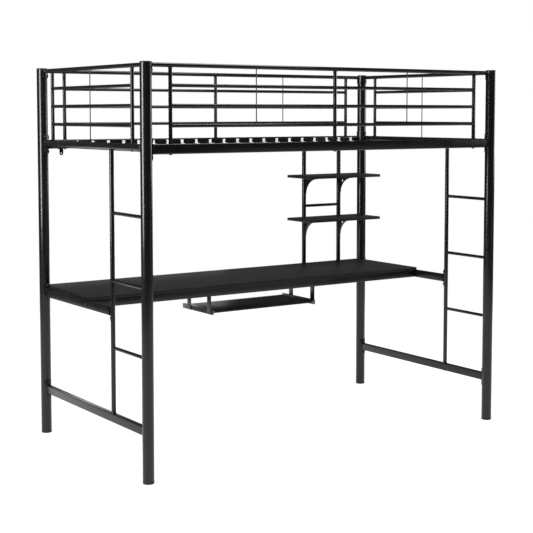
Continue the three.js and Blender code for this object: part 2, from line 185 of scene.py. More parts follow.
# %% [markdown]
# ## Helpers for shapes
# Tube, box section and board all start as a flat outline drawn out along a line. What makes them
# look made rather than drawn is the edge, so the outline is a function of how far it is drawn
# in, and the ends of a piece are rounded by drawing it in over the last fraction of a
# millimetre. Turned pieces, such as caps and feet, come from a profile spun round an axis.

# %% Shape helpers
ROUND_STEPS = 3
TURNS = 48
SHARP_FROM = math.radians(38)


def facing(origin, along, across=(0, 0, 1)):
    """A matrix whose Z runs along a direction, and whose X is as near as can be to across."""
    w = Vector(along).normalized()
    u = Vector(across)
    if abs(u.normalized().dot(w)) > 0.99:
        u = Vector((1, 0, 0)) if abs(w.x) < 0.9 else Vector((0, 1, 0))
    u = (u - w * u.dot(w)).normalized()
    v = w.cross(u)
    return Matrix.Translation(Vector(origin)) @ Matrix((u, v, w)).transposed().to_4x4()


def disc(radius, sides=TURNS):
    """A circle's outline, as a function of how far it is drawn in."""
    def outline(inset):
        r = radius - inset
        return [(r * math.cos(a), r * math.sin(a))
                for a in (math.tau * i / sides for i in range(sides))]
    return outline


def slab(width, height, corner, steps=5):
    """A rectangle's outline with rounded corners."""
    def outline(inset):
        w, h = width / 2 - inset, height / 2 - inset
        r = max(corner - inset, 0.02 * MM)
        points = []
        for k, (sx, sy) in enumerate(((1, 1), (-1, 1), (-1, -1), (1, -1))):
            for i in range(steps + 1):
                a = math.pi / 2 * (k + i / steps)
                points.append((sx * (w - r) + r * math.cos(a), sy * (h - r) + r * math.sin(a)))
        return points
    return outline


def shaped(points):
    """Any closed outline, given anticlockwise, whose sides move in by the inset."""
    def outline(inset):
        moved = []
        for i, here in enumerate(points):
            a = (Vector(here) - Vector(points[i - 1])).normalized()
            b = (Vector(points[(i + 1) % len(points)]) - Vector(here)).normalized()
            na, nb = Vector((-a.y, a.x)), Vector((-b.y, b.x))
            step = (na + nb) / max(1 + na.dot(nb), 0.2)
            moved.append(tuple(Vector(here) + step * inset))
        return moved
    return outline


def saddle_outline(radius, thickness, half_angle=math.radians(38), steps=10):
    """A curved plate lying on a tube of that radius, seen from its end, facing +X."""
    def outline(inset):
        inner, outer = radius + inset * 0.2, radius + thickness - inset
        spread = half_angle - inset / radius
        angles = [spread * (2 * i / steps - 1) for i in range(steps + 1)]
        return ([(outer * math.cos(a), outer * math.sin(a)) for a in angles]
                + [(inner * math.cos(a), inner * math.sin(a)) for a in reversed(angles)])
    return outline


def skin(mesh, rings, closed):
    """Joins rings of points into a surface, and closes its ends with flat faces."""
    rows = [[mesh.verts.new(p) for p in ring] for ring in rings]
    pairs = list(zip(rows, rows[1:])) + ([(rows[-1], rows[0])] if closed else [])
    for low, high in pairs:
        for i in range(len(low)):
            j = (i + 1) % len(low)
            mesh.faces.new((low[i], low[j], high[j], high[i]))
    if not closed:
        mesh.faces.new(list(reversed(rows[0])))
        mesh.faces.new(rows[-1])


def rounding(edge):
    """Steps of (distance in from the side, distance up from the end) round a rounded end."""
    arc = [math.pi / 2 * i / ROUND_STEPS for i in range(ROUND_STEPS + 1)]
    return [(edge * (1 - math.sin(a)), edge * (1 - math.cos(a))) for a in arc]


def draw_out(mesh, outline, place, length, edge=0.6 * MM, wall=0.0, first_edge=None):
    """Draws an outline out along its Z, with rounded ends, hollow if it has a wall."""
    stations = rounding(edge if first_edge is None else first_edge)
    stations += [(s, length - z) for s, z in reversed(rounding(edge))]
    rings = [[place @ Vector((x, y, z)) for x, y in outline(s)] for s, z in stations]
    if wall:
        rings += [[place @ Vector((x, y, z)) for x, y in outline(wall)]
                  for z in (length - edge * 0.5, edge * 0.5)]
    skin(mesh, rings, closed=bool(wall))


def turn(mesh, profile, place, sides=TURNS):
    """Spins a profile of (radius, height) pairs, first and last near the axis."""
    rings = [[place @ Vector((r * math.cos(a), r * math.sin(a), z))
              for a in (math.tau * i / sides for i in range(sides))] for r, z in profile]
    skin(mesh, rings, closed=False)


def pipe(mesh, start, end, radius, sides=TURNS, edge=0.4 * MM, wall=0.0):
    """A round tube between two points."""
    start, end = Vector(start), Vector(end)
    draw_out(mesh, disc(radius, sides), facing(start, end - start), (end - start).length, edge, wall)


def block(mesh, low, high, corner, edge=0.6 * MM, axis=0, wall=0.0):
    """A box section or board between two corners, drawn out along axis 0, 1 or 2."""
    low, high = Vector(low), Vector(high)
    size, middle = high - low, (low + high) / 2
    start = middle.copy()
    start[axis] = low[axis]
    u, v = [(1, 2), (2, 0), (0, 1)][axis]
    direction, across = Vector((0, 0, 0)), Vector((0, 0, 0))
    direction[axis] = 1
    across[u] = 1
    draw_out(mesh, slab(size[u], size[v], corner), facing(start, direction, across),
             size[axis], edge, wall)


def piece(name, mesh, material, body, nodes=()):
    """Makes the finished object: smooth where it curves, sharp where it is cut."""
    data = bpy.data.meshes.new(name)
    bmesh.ops.recalc_face_normals(mesh, faces=mesh.faces)
    mesh.to_mesh(data)
    mesh.free()
    data.polygons.foreach_set("use_smooth", [True] * len(data.polygons))
    data.set_sharp_from_angle(angle=SHARP_FROM)
    data.materials.append(material)
    made = bpy.data.objects.new(name, data)
    bpy.context.collection.objects.link(made)
    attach(made, body)
    if nodes:
        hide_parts(*nodes)
    return made


# %% [markdown]
# ## What the fasteners and welds need
# Bolts, weld beads and clips repeat over the whole bed, so the pieces below only note where one
# goes, which way it faces and how big it is. Geometry Nodes set them all out at the end.

# %% Notes for fasteners and welds
bolts = []
welds = []


def bolt(at, toward):
    bolts.append((Vector(at), Vector(toward), 1.0))


def weld(at, along, radius):
    welds.append((Vector(at), Vector(along), radius))


SIDES = (("left", -1), ("right", 1))
ROWS = (("front", -1), ("back", 1))
FIT = 0.3 * MM

# %% [markdown]
# ## Posts, caps and feet
# Each post is a two-inch tube with a moulded cap pressed into its top and a foot into its
# bottom. The tube is drawn out from a circle. The cap and the foot are turned, because their
# slightly domed faces and rounded rims are what catch the light.

# %% Posts
POST_SIDES, POST_WALL = 64, 1.5 * MM
CAP_DEPTH, FOOT_HEIGHT = 6 * MM, 12 * MM  # how much of each shows outside the tube
PLUG_GAP = 2 * MM  # how much narrower the plug in the tube is


def post_ends():
    for row, _ in ROWS:
        for side, _ in SIDES:
            tag = f"{row}_{side}"
            low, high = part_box(f"post_{tag}")
            x, y = (low.x + high.x) / 2, (low.y + high.y) / 2
            radius = (high.x - low.x) / 2
            tube = bmesh.new()
            pipe(tube, (x, y, low.z), (x, y, high.z), radius, POST_SIDES, 0.5 * MM, POST_WALL)
            piece(f"visual_post_{tag}", tube, powder_coat, "frame", [f"post_{tag}"])

            low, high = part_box(f"post_cap_{tag}")
            rim = 2.0 * MM
            base = high.z - CAP_DEPTH
            plug = radius - PLUG_GAP
            cap = bmesh.new()
            turn(cap, [(plug, low.z), (plug, base), (radius - 0.3 * MM, base),
                       (radius, base + 0.3 * MM), (radius, high.z - rim - 0.8 * MM),
                       (radius - 0.6 * rim, high.z - 1.4 * MM), (radius - 1.4 * rim, high.z - 0.8 * MM),
                       (radius * 0.6, high.z - 0.2 * MM), (radius * 0.1, high.z)],
                 Matrix.Translation((x, y, 0)), POST_SIDES)
            piece(f"visual_cap_{tag}", cap, moulded_plastic, "frame",
                  [f"post_cap_{tag}"])

            low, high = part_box(f"post_foot_{tag}")
            shoulder = low.z + FOOT_HEIGHT
            foot = bmesh.new()
            turn(foot, [(radius * 0.1, low.z), (radius - 4 * MM, low.z),
                        (radius - 1.6 * MM, low.z + 0.8 * MM), (radius - 0.3 * MM, low.z + 2.6 * MM),
                        (radius, low.z + 5 * MM), (radius, shoulder - 0.3 * MM),
                        (radius - 0.3 * MM, shoulder), (plug, shoulder), (plug, high.z)],
                 Matrix.Translation((x, y, 0)), POST_SIDES)
            piece(f"visual_foot_{tag}", foot, moulded_plastic, "frame",
                  [f"post_foot_{tag}"])


post_ends()
post_low, post_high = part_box("post_front_left")
POST_R = (post_high.x - post_low.x) / 2
HALF_L = -(post_low.x + post_high.x) / 2
HALF_W = -(post_low.y + post_high.y) / 2
print("posts at +-", round(HALF_L, 4), round(HALF_W, 4), "radius", round(POST_R, 4))

# %% [markdown]
# ## Rails
# The side rails, the bottom rails and the desk supports are box tube. The rails across the ends
# of the deck are round tube, which shows as one soft line of light along the middle. A curved
# plate is welded to each end of a rail and bolted to the post, one bolt above and one below.

# %% Rails
EAR = 25 * MM
PLATE_T = 2.5 * MM
BOLT_OUT = 13 * MM
RAIL_HALF, DESK_RAIL_HALF = 12.5 * MM, 10 * MM
WELD_GROW = 1.2 * MM
INTO_PLATE = 0.5 * MM  # how far short of the post a rail starts, inside its plate
SOFT_CORNER, CRISP_CORNER = 6 * MM, 2.5 * MM


def end_plates(mesh, axis, ends, across_at, low_z, high_z, bolt_zs):
    """The curved plates of a rail, and their bolts. Returns the faces the rail is welded to."""
    faces = []
    for (at, radius), s in zip(ends, (1, -1)):
        out, centre = Vector((0, 0, 0)), Vector((0, 0, low_z))
        out[axis] = s
        centre[axis], centre[1 - axis] = at, across_at
        draw_out(mesh, saddle_outline(radius + FIT, PLATE_T), facing(centre, (0, 0, 1), out),
                 high_z - low_z, 0.8 * MM)
        face = at + s * (radius + FIT + PLATE_T)
        for z in bolt_zs:
            spot = Vector((0, 0, z))
            spot[axis], spot[1 - axis] = face, across_at
            bolt(spot, out)
        faces.append((face, s))
    return faces


def box_rail(name, axis, ends, across_at, corner, ear=EAR):
    """A box rail along X (axis 0) or Y (axis 1). ends are (position, tube radius) pairs."""
    low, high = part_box(name)
    width_axis = 1 - axis
    half = RAIL_HALF if ear else DESK_RAIL_HALF
    z0, z1 = low.z + ear, high.z - ear
    body = bmesh.new()
    lo, hi = Vector((0, 0, z0)), Vector((0, 0, z1))
    lo[axis], hi[axis] = [at + s * (radius + FIT + INTO_PLATE) for (at, radius), s in zip(ends, (1, -1))]
    lo[width_axis], hi[width_axis] = across_at - half, across_at + half
    block(body, lo, hi, corner, axis=axis)
    bolt_zs = (z0 - BOLT_OUT, z1 + BOLT_OUT) if ear else ()
    for face, s in end_plates(body, axis, ends, across_at, low.z, high.z, bolt_zs):
        grow = Vector((WELD_GROW, WELD_GROW, WELD_GROW))
        grow[axis] = 0
        band_lo, band_hi = lo - grow, hi + grow
        band_lo[axis], band_hi[axis] = sorted((face - s * 0.5 * MM, face + s * 1.8 * MM))
        block(body, band_lo, band_hi, corner + WELD_GROW, 1.0 * MM, axis)
    piece(f"visual_{name}", body, powder_coat, "frame", [name])


def round_rail(name, axis, ends, across_at):
    """A round rail along X (axis 0) or Y (axis 1)."""
    low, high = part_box(name)
    radius = (high.z - low.z) / 2 - EAR
    z = (low.z + high.z) / 2
    points = []
    for (at, post_radius), s in zip(ends, (1, -1)):
        point = Vector((0, 0, z))
        point[axis], point[1 - axis] = at + s * (post_radius + FIT + INTO_PLATE), across_at
        points.append(point)
    body = bmesh.new()
    pipe(body, *points, radius)
    bolt_zs = (z - radius - BOLT_OUT, z + radius + BOLT_OUT)
    for face, s in end_plates(body, axis, ends, across_at, low.z, high.z, bolt_zs):
        spot, along = Vector((0, 0, z)), Vector((0, 0, 0))
        spot[axis], spot[1 - axis] = face, across_at
        along[axis] = s
        weld(spot, along, radius)
    piece(f"visual_{name}", body, powder_coat, "frame", [name])


ladder_low, ladder_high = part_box("ladder_upright_left")
LADDER_Y = (ladder_low.y + ladder_high.y) / 2
LADDER_R = (ladder_high.y - ladder_low.y) / 2
long_ends = ((-HALF_L, POST_R), (HALF_L, POST_R))
short_ends = ((-HALF_W, POST_R), (HALF_W, POST_R))
for row, sy in ROWS:
    box_rail(f"side_rail_{row}", 0, long_ends, sy * HALF_W, SOFT_CORNER)
for side, sx in SIDES:
    round_rail(f"end_rail_{side}", 1, short_ends, sx * HALF_L)
    box_rail(f"bottom_rail_{side}", 1, short_ends, sx * HALF_L, CRISP_CORNER)
    box_rail(f"desk_support_{side}", 1, ((LADDER_Y, LADDER_R), (HALF_W, POST_R)), sx * HALF_L,
             CRISP_CORNER)
box_rail("desk_back_rail", 0, long_ends, HALF_W, CRISP_CORNER, ear=0)
print("rails drawn,", len(bolts), "bolts noted")

# %% [markdown]
# ## Guards
# A guard is one welded frame: a top rail, three bars and a few uprights, with thin wires to keep
# the gaps small. The tubes run into one another, and each joint gets a bead of weld.

# %% Guards
RAIL_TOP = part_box("side_rail_front")[1].z - EAR
TOP_RAIL_R, BAR_R, UPRIGHT_R, WIRE_R = 9.5 * MM, 7.75 * MM, 8.4 * MM, 2.5 * MM
TOP_RAIL_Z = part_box("guard_front")[1].z - TOP_RAIL_R
BAR_PITCH = 85.5 * MM
BAR_ZS = [TOP_RAIL_Z - BAR_PITCH * (i + 1) for i in range(3)]
PLATE_DROP, PLATE_BOLT_UP = 34 * MM, 12 * MM
WIRE_AT, INSET_LONG, INSET_END = 438 * MM, 118 * MM, 120 * MM


def guard(name, axis, half, across_at, uprights, wires):
    """A guard between two posts. wires are (position, lower end) pairs."""
    def at(a, z):
        point = Vector((0, 0, z))
        point[axis], point[1 - axis] = a, across_at
        return point

    along = Vector((0, 0, 0))
    along[axis] = 1
    tubes = bmesh.new()
    reach = half - POST_R - FIT - INTO_PLATE
    pipe(tubes, at(-reach, TOP_RAIL_Z), at(reach, TOP_RAIL_Z), TOP_RAIL_R)
    for z in BAR_ZS:
        pipe(tubes, at(uprights[0], z), at(uprights[-1], z), BAR_R, 32)
        for a in uprights:
            for s in (1, -1):
                if uprights[0] <= a + s * 0.03 <= uprights[-1]:
                    weld(at(a + s * (UPRIGHT_R + 0.3 * MM), z), along * s, BAR_R)
    for a in uprights:
        pipe(tubes, at(a, RAIL_TOP + FIT), at(a, TOP_RAIL_Z), UPRIGHT_R, 32)
        weld(at(a, TOP_RAIL_Z - TOP_RAIL_R - 0.2 * MM), (0, 0, -1), UPRIGHT_R)
        weld(at(a, RAIL_TOP + FIT + 1.2 * MM), (0, 0, 1), UPRIGHT_R)
    for a, bottom in wires:
        pipe(tubes, at(a, bottom), at(a, TOP_RAIL_Z), WIRE_R, 16)
        for z in [z for z in BAR_ZS if z >= bottom - MM]:
            weld(at(a, z + BAR_R), (0, 0, 1), WIRE_R)
    for s in (1, -1):
        low = TOP_RAIL_Z - PLATE_DROP
        out = along * s * -1
        draw_out(tubes, saddle_outline(POST_R + FIT, PLATE_T), facing(at(s * half, low), (0, 0, 1), out),
                 TOP_RAIL_Z + TOP_RAIL_R - low, 0.8 * MM)
        face = s * (half - POST_R - FIT - PLATE_T)
        weld(at(face, TOP_RAIL_Z), out, TOP_RAIL_R)
        bolt(at(face, low + PLATE_BOLT_UP), out)
    piece(f"visual_{name}", tubes, powder_coat, "frame", [name])


for row, sy in ROWS:
    edge = HALF_L - INSET_LONG
    guard(f"guard_{row}", 0, HALF_L, sy * HALF_W, (-edge, 0.0, edge),
          [(-WIRE_AT, BAR_ZS[-1]), (WIRE_AT, BAR_ZS[-1])])
    for x in (-edge, 0.0, edge):
        bolt((x, sy * HALF_W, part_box("side_rail_front")[0].z + EAR), (0, 0, -1))
for side, sx in SIDES:
    edge = HALF_W - INSET_END
    guard(f"guard_{side}", 1, HALF_W, sx * HALF_L, (-edge, edge), [(0.0, RAIL_TOP + FIT)])
    for y in (-edge, edge):
        bolt((sx * HALF_L, y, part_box(f"end_rail_{side}")[0].z + EAR), (0, 0, -1))
print("guards drawn,", len(welds), "welds noted")

# %% [markdown]
# ## Ladders
# Each end has three rungs between the front post and a thinner upright. Their ends are cut to
# the curve of the tube they meet and welded all round.

# %% Ladders
for side, sx in SIDES:
    x = sx * HALF_L
    low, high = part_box(f"ladder_upright_{side}")
    upright = bmesh.new()
    pipe(upright, (x, LADDER_Y, low.z), (x, LADDER_Y, high.z), LADDER_R)
    piece(f"visual_ladder_upright_{side}", upright, powder_coat, "frame",
          [f"ladder_upright_{side}"])
    weld((x, LADDER_Y, low.z + MM), (0, 0, 1), LADDER_R)
    weld((x, LADDER_Y, high.z - MM), (0, 0, -1), LADDER_R)
    bolt((x, LADDER_Y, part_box(f"bottom_rail_{side}")[0].z + EAR), (0, 0, -1))
    for i in (1, 2, 3):
        low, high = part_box(f"rung_{side}_{i}")
        z, radius = (low.z + high.z) / 2, (high.z - low.z) / 2
        start, end = -HALF_W + POST_R, LADDER_Y - LADDER_R
        rung = bmesh.new()
        pipe(rung, (x, start - 1.0 * MM, z), (x, end + 1.0 * MM, z), radius, 32)
        piece(f"visual_rung_{side}_{i}", rung, powder_coat, "frame",
              [f"rung_{side}_{i}"])
        weld((x, start + 0.8 * MM, z), (0, 1, 0), radius)
        weld((x, end - 0.6 * MM, z), (0, -1, 0), radius)
print("ladder uprights at y", round(LADDER_Y, 4), "radius", round(LADDER_R, 4))

# %% [markdown]
# ## Desk
# The desk top is a fibreboard panel in black laminate, notched round the back posts. Its edge
# strip is rolled over, so its upper rim is drawn with a wide rounding, which gives a thin bright
# line along the front. A box tube lies flush under its front edge, so that the two read as one
# deep face.

# %% Desk
low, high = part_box("desk_top")
notch_x, notch_y = 965 * MM, 489 * MM
corners = [(-high.x, low.y), (high.x, low.y), (high.x, notch_y), (notch_x, notch_y),
           (notch_x, high.y), (-notch_x, high.y), (-notch_x, notch_y), (-high.x, notch_y)]
board = bmesh.new()
draw_out(board, shaped(corners), Matrix.Translation((0, 0, low.z)), high.z - low.z, 2.5 * MM,
         first_edge=0.3 * MM)
piece("visual_desk_top", board, laminate, "frame", ["desk_top"])
DESK_TOP = high.z

SUPPORT_BOLT_Y = 40 * MM
low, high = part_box("desk_front_rail")
front = bmesh.new()
block(front, low, high, 0.6 * MM, 0.4 * MM, 0, 1.5 * MM)
piece("visual_desk_front_rail", front, powder_coat, "frame", ["desk_front_rail"])
for side, sx in SIDES:
    support_low, support_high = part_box(f"desk_support_{side}")
    bolt((sx * (HALF_L + RAIL_HALF), SUPPORT_BOLT_Y, (support_low.z + support_high.z) / 2), (sx, 0, 0))
print("desk top at", round(DESK_TOP, 4))

# %% [markdown]
# ## Shelf tower
# Two uprights stand between the desk and the bed rail. Quarter-round gussets are cut from sheet
# and welded to them, and the shelf boards lie on the gussets. The right-hand pair has a hole.

# %% Shelf tower
def drilled(made, at, direction, radius):
    """Cuts a round hole through a finished piece."""
    cutter_mesh = bmesh.new()
    pipe(cutter_mesh, Vector(at) - Vector(direction) * 0.02, Vector(at) + Vector(direction) * 0.02,
         radius, 24, 0.01 * MM)
    data = bpy.data.meshes.new("cutter")
    cutter_mesh.to_mesh(data)
    cutter_mesh.free()
    cutter = bpy.data.objects.new("cutter", data)
    bpy.context.collection.objects.link(cutter)
    cut = made.modifiers.new("hole", "BOOLEAN")
    cut.object, cut.operation, cut.solver = cutter, "DIFFERENCE", "EXACT"
    bpy.context.view_layer.update()
    solid = bpy.data.meshes.new_from_object(made.evaluated_get(bpy.context.evaluated_depsgraph_get()))
    made.modifiers.clear()
    made.data = solid
    bpy.data.objects.remove(cutter)
    solid.set_sharp_from_angle(angle=SHARP_FROM)


GUSSET_TIP, GUSSET_STEPS = 8 * MM, 20
GUSSET_HOLE_IN, GUSSET_HOLE_R = 26 * MM, 6.5 * MM
for side, _ in SIDES:
    low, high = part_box(f"shelf_upright_{side}")
    x, y = (low.x + high.x) / 2, (low.y + high.y) / 2
    radius = (high.x - low.x) / 2
    upright = bmesh.new()
    pipe(upright, (x, y, low.z), (x, y, high.z), radius)
    piece(f"visual_shelf_upright_{side}", upright, powder_coat, "frame",
          [f"shelf_upright_{side}"])
    weld((x, y, low.z + MM), (0, 0, 1), radius)
    weld((x, y, high.z - MM), (0, 0, -1), radius)
    for level in ("upper", "lower"):
        name = f"shelf_gusset_{level}_{side}"
        low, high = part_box(name)
        reach, drop = high.y - low.y, high.z - low.z
        curve = [(low.y + (reach - GUSSET_TIP) * math.cos(a), low.z + (drop - GUSSET_TIP) * math.sin(a))
                 for a in (math.pi / 2 * i / GUSSET_STEPS for i in range(GUSSET_STEPS + 1))]
        outline = [(high.y, low.z), (high.y, high.z), (low.y, high.z)] + curve[::-1]
        plate = bmesh.new()
        draw_out(plate, shaped(outline), facing((low.x, 0, 0), (1, 0, 0), (0, 1, 0)),
                 high.x - low.x, 0.5 * MM)
        made = piece(f"visual_{name}", plate, powder_coat, "frame", [name])
        if side == "right":
            drilled(made, (x, high.y - GUSSET_HOLE_IN, high.z - GUSSET_HOLE_IN), (1, 0, 0), GUSSET_HOLE_R)

low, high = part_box("shelf_crossbar")
z, radius = (low.z + high.z) / 2, (high.z - low.z) / 2
crossbar = bmesh.new()
pipe(crossbar, (low.x, HALF_W, z), (high.x, HALF_W, z), radius, 32)
piece("visual_shelf_crossbar", crossbar, powder_coat, "frame", ["shelf_crossbar"])
weld((low.x + 2 * MM, HALF_W, z), (1, 0, 0), radius)
weld((high.x - 2 * MM, HALF_W, z), (-1, 0, 0), radius)

for level in ("upper", "lower"):
    low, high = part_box(f"shelf_{level}")
    shelf = bmesh.new()
    block(shelf, low, high, 2 * MM, 2 * MM, 2)
    piece(f"visual_shelf_{level}", shelf, laminate, "frame", [f"shelf_{level}"])
print("shelf tower drawn")

# %% [markdown]
# ## Lug
# A small drilled tab hangs under the back side rail. It is bent from strip, so it is drawn as
# a plate with a rounded end, a hole, and a short flange against the rail.

# %% Lug
LUG_T, LUG_HOLE_R = 3 * MM, 3.5 * MM
low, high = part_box("rail_lug")
centre_x, half = (low.x + high.x) / 2, (high.x - low.x) / 2
bend_z = low.z + half
outline = [(-half, high.z), *[(-half * math.cos(a), bend_z - half * math.sin(a))
           for a in (math.pi * i / 16 for i in range(17))], (half, high.z)]
tab = bmesh.new()
draw_out(tab, shaped(outline), facing((centre_x, low.y + LUG_T, 0), (0, -1, 0), (1, 0, 0)),
         LUG_T, 0.4 * MM)
block(tab, (low.x, low.y, high.z - LUG_T), (high.x, high.y, high.z), 0.6 * MM, 0.4 * MM, 0)
lug = piece("visual_rail_lug", tab, powder_coat, "frame", ["rail_lug"])
drilled(lug, (centre_x, low.y + LUG_T / 2, bend_z), (0, 1, 0), LUG_HOLE_R)
print("lug drawn")

# %% [markdown]
# ## Keyboard tray
# Two channels hang from the desk on drop arms, bent from strip and screwed up under the board.
# A zinc-plated bar runs in each channel and carries the tray, so the bars and the tray ride on
# the sliding body, and the hangers stay with the frame.

# %% Keyboard tray
ARM_YS, ARM_W, ARM_T, FLANGE_W = (80 * MM, 272 * MM), 34 * MM, 3 * MM, 24 * MM
RUNNER_OUT, RUNNER_IN, RUNNER_H, RUNNER_WALL = 316 * MM, 303 * MM, 24 * MM, 2 * MM
RUNNER_FRONT, RUNNER_BACK = 54 * MM, 338 * MM
for side, sx in SIDES:
    low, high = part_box(f"tray_hanger_{side}")
    slide_low, slide_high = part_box(f"tray_slide_{side}")
    z0, z1 = low.z, low.z + RUNNER_H
    lip = RUNNER_OUT - RUNNER_WALL
    section = [(RUNNER_OUT, z0), (RUNNER_OUT, z1), (RUNNER_IN, z1), (RUNNER_IN, z1 - RUNNER_WALL),
               (lip, z1 - RUNNER_WALL), (lip, z0 + RUNNER_WALL), (RUNNER_IN, z0 + RUNNER_WALL),
               (RUNNER_IN, z0)]
    if sx < 0:
        section = [(-a, z) for a, z in reversed(section)]
    hanger = bmesh.new()
    draw_out(hanger, shaped(section), facing((0, RUNNER_BACK, 0), (0, -1, 0), (1, 0, 0)),
             RUNNER_BACK - RUNNER_FRONT, 0.3 * MM)
    for y in ARM_YS:
        y0, y1 = y - ARM_W / 2, y + ARM_W / 2
        x0, x1 = sorted((sx * (RUNNER_OUT - 0.5 * MM), sx * (RUNNER_OUT + ARM_T)))
        block(hanger, (x0, y0, low.z), (x1, y1, high.z), 0.8 * MM, 0.6 * MM, 2)
        x0, x1 = sorted((sx * RUNNER_OUT, sx * (RUNNER_OUT + FLANGE_W)))
        block(hanger, (x0, y0, high.z - ARM_T), (x1, y1, high.z), 0.8 * MM, 0.6 * MM, 0)
        bolt((sx * (RUNNER_OUT + 14 * MM), y, high.z - ARM_T), (0, 0, -1))
    piece(f"visual_tray_hanger_{side}", hanger, powder_coat, "frame",
          [f"tray_hanger_{side}"])
    bar = bmesh.new()
    block(bar, slide_low, slide_high, 1.0 * MM, 0.6 * MM, 1)
    piece(f"visual_tray_slide_{side}", bar, zinc_plate, "tray", [f"tray_slide_{side}"])
low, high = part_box("keyboard_tray")
tray = bmesh.new()
block(tray, low, high, 2 * MM, 2.0 * MM, 2)
piece("visual_keyboard_tray", tray, laminate, "tray", ["keyboard_tray"])
print("tray drawn,", len(bolts), "bolts noted in all")

# %% [markdown]
# ## Geometry Nodes: one tree for whatever repeats
# A tree is built in the script with its sizes as named inputs. Each tree takes a cloud of
# points that carry a direction and a size, puts a copy of a small shape on each, and ends in
# Realize Instances and Set Material. The result is turned into a plain mesh afterwards.

# %% Geometry Nodes helpers
def new_tree(name, inputs):
    """An empty tree with a geometry input and output and the named number inputs."""
    tree = bpy.data.node_groups.new(name, "GeometryNodeTree")
    tree.interface.new_socket("Geometry", in_out="INPUT", socket_type="NodeSocketGeometry")
    tree.interface.new_socket("Geometry", in_out="OUTPUT", socket_type="NodeSocketGeometry")
    for label, default in inputs.items():
        kind = "NodeSocketInt" if isinstance(default, int) else "NodeSocketFloat"
        tree.interface.new_socket(label, in_out="INPUT", socket_type=kind).default_value = default
    return tree, tree.nodes.new("NodeGroupInput"), tree.nodes.new("NodeGroupOutput")


def close_tree(tree, output, geometry, material):
    """Realises the copies, gives them their material and wires them to the output."""
    real = node(tree, "GeometryNodeRealizeInstances", links={"Geometry": geometry})
    painted = node(tree, "GeometryNodeSetMaterial", values={"Material": material},
                   links={"Geometry": real.outputs["Geometry"]})
    tree.links.new(painted.outputs["Geometry"], output.inputs["Geometry"])


def run_tree(name, start, tree, values, body):
    """Runs a tree on a mesh and keeps only the finished mesh."""
    made = bpy.data.objects.new(name, start)
    bpy.context.collection.objects.link(made)
    modifier = made.modifiers.new("tree", "NODES")
    modifier.node_group = tree
    sockets = {s.name: s.identifier for s in tree.interface.items_tree if s.in_out == "INPUT"}
    for label, value in values.items():
        modifier[sockets[label]] = value
    bpy.context.view_layer.update()
    solid = bpy.data.meshes.new_from_object(made.evaluated_get(bpy.context.evaluated_depsgraph_get()))
    made.modifiers.clear()
    made.data = solid
    solid.polygons.foreach_set("use_smooth", [True] * len(solid.polygons))
    solid.set_sharp_from_angle(angle=SHARP_FROM)
    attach(made, body)
    print(name, len(solid.polygons), "faces")
    return made


def point_cloud(name, notes):
    """A mesh of loose points that carry a direction and a size."""
    data = bpy.data.meshes.new(name)
    data.from_pydata([n[0] for n in notes], [], [])
    way = data.attributes.new("way", "FLOAT_VECTOR", "POINT")
    way.data.foreach_set("vector", [c for n in notes for c in n[1].normalized()])
    size = data.attributes.new("size", "FLOAT", "POINT")
    size.data.foreach_set("value", [n[2] for n in notes])
    return data


def placed(tree, points, shape, scaled=False):
    """Puts the shape on each point, its Z along the point's direction."""
    way = node(tree, "GeometryNodeInputNamedAttribute", {"data_type": "FLOAT_VECTOR"}, {"Name": "way"})
    turned = node(tree, "FunctionNodeAlignEulerToVector", {"axis": "Z"},
                  links={"Vector": way.outputs["Attribute"]})
    links = {"Points": points, "Instance": shape, "Rotation": turned.outputs["Rotation"]}
    if scaled:
        size = node(tree, "GeometryNodeInputNamedAttribute", {"data_type": "FLOAT"}, {"Name": "size"})
        links["Scale"] = size.outputs["Attribute"]
    return node(tree, "GeometryNodeInstanceOnPoints", links=links).outputs["Instances"]


# %% [markdown]
# ## Bolts
# Every bolt is a low button head on a washer. The washer is a flat cylinder and the head two
# cone frustums, with a hexagonal key hole cut into its face. One is built, and a copy is set on
# every noted point.

# %% Bolts
BOLT_SIZES = {"Head radius": 6 * MM, "Washer radius": 8.5 * MM}
tree, given, result = new_tree("button-head bolts", BOLT_SIZES)
washer = node(tree, "GeometryNodeMeshCylinder", values={"Vertices": 28, "Depth": 1.4 * MM},
              links={"Radius": given.outputs["Washer radius"]})
washer_up = node(tree, "GeometryNodeTransform", values={"Translation": (0, 0, 0.7 * MM)},
                 links={"Geometry": washer.outputs["Mesh"]})
shoulder_r = node(tree, "ShaderNodeMath", {"operation": "MULTIPLY"},
                  links={0: given.outputs["Head radius"]})
shoulder_r.inputs[1].default_value = 0.93
crown_r = node(tree, "ShaderNodeMath", {"operation": "MULTIPLY"}, links={0: given.outputs["Head radius"]})
crown_r.inputs[1].default_value = 0.62
lower = node(tree, "GeometryNodeMeshCone", values={"Vertices": 28, "Depth": 1.4 * MM},
             links={"Radius Bottom": given.outputs["Head radius"], "Radius Top": shoulder_r.outputs[0]})
lower_up = node(tree, "GeometryNodeTransform", values={"Translation": (0, 0, 1.3 * MM)},
                links={"Geometry": lower.outputs["Mesh"]})
upper = node(tree, "GeometryNodeMeshCone", values={"Vertices": 28, "Depth": 1.6 * MM},
             links={"Radius Bottom": shoulder_r.outputs[0], "Radius Top": crown_r.outputs[0]})
upper_up = node(tree, "GeometryNodeTransform", values={"Translation": (0, 0, 2.7 * MM)},
                links={"Geometry": upper.outputs["Mesh"]})
key = node(tree, "GeometryNodeMeshCylinder", values={"Vertices": 6, "Radius": 2.3 * MM, "Depth": 3 * MM})
key_up = node(tree, "GeometryNodeTransform", values={"Translation": (0, 0, 4.4 * MM)},
              links={"Geometry": key.outputs["Mesh"]})
crown = node(tree, "GeometryNodeMeshBoolean", {"operation": "DIFFERENCE", "solver": "EXACT"},
             links={"Mesh 1": upper_up.outputs["Geometry"], "Mesh 2": key_up.outputs["Geometry"]})
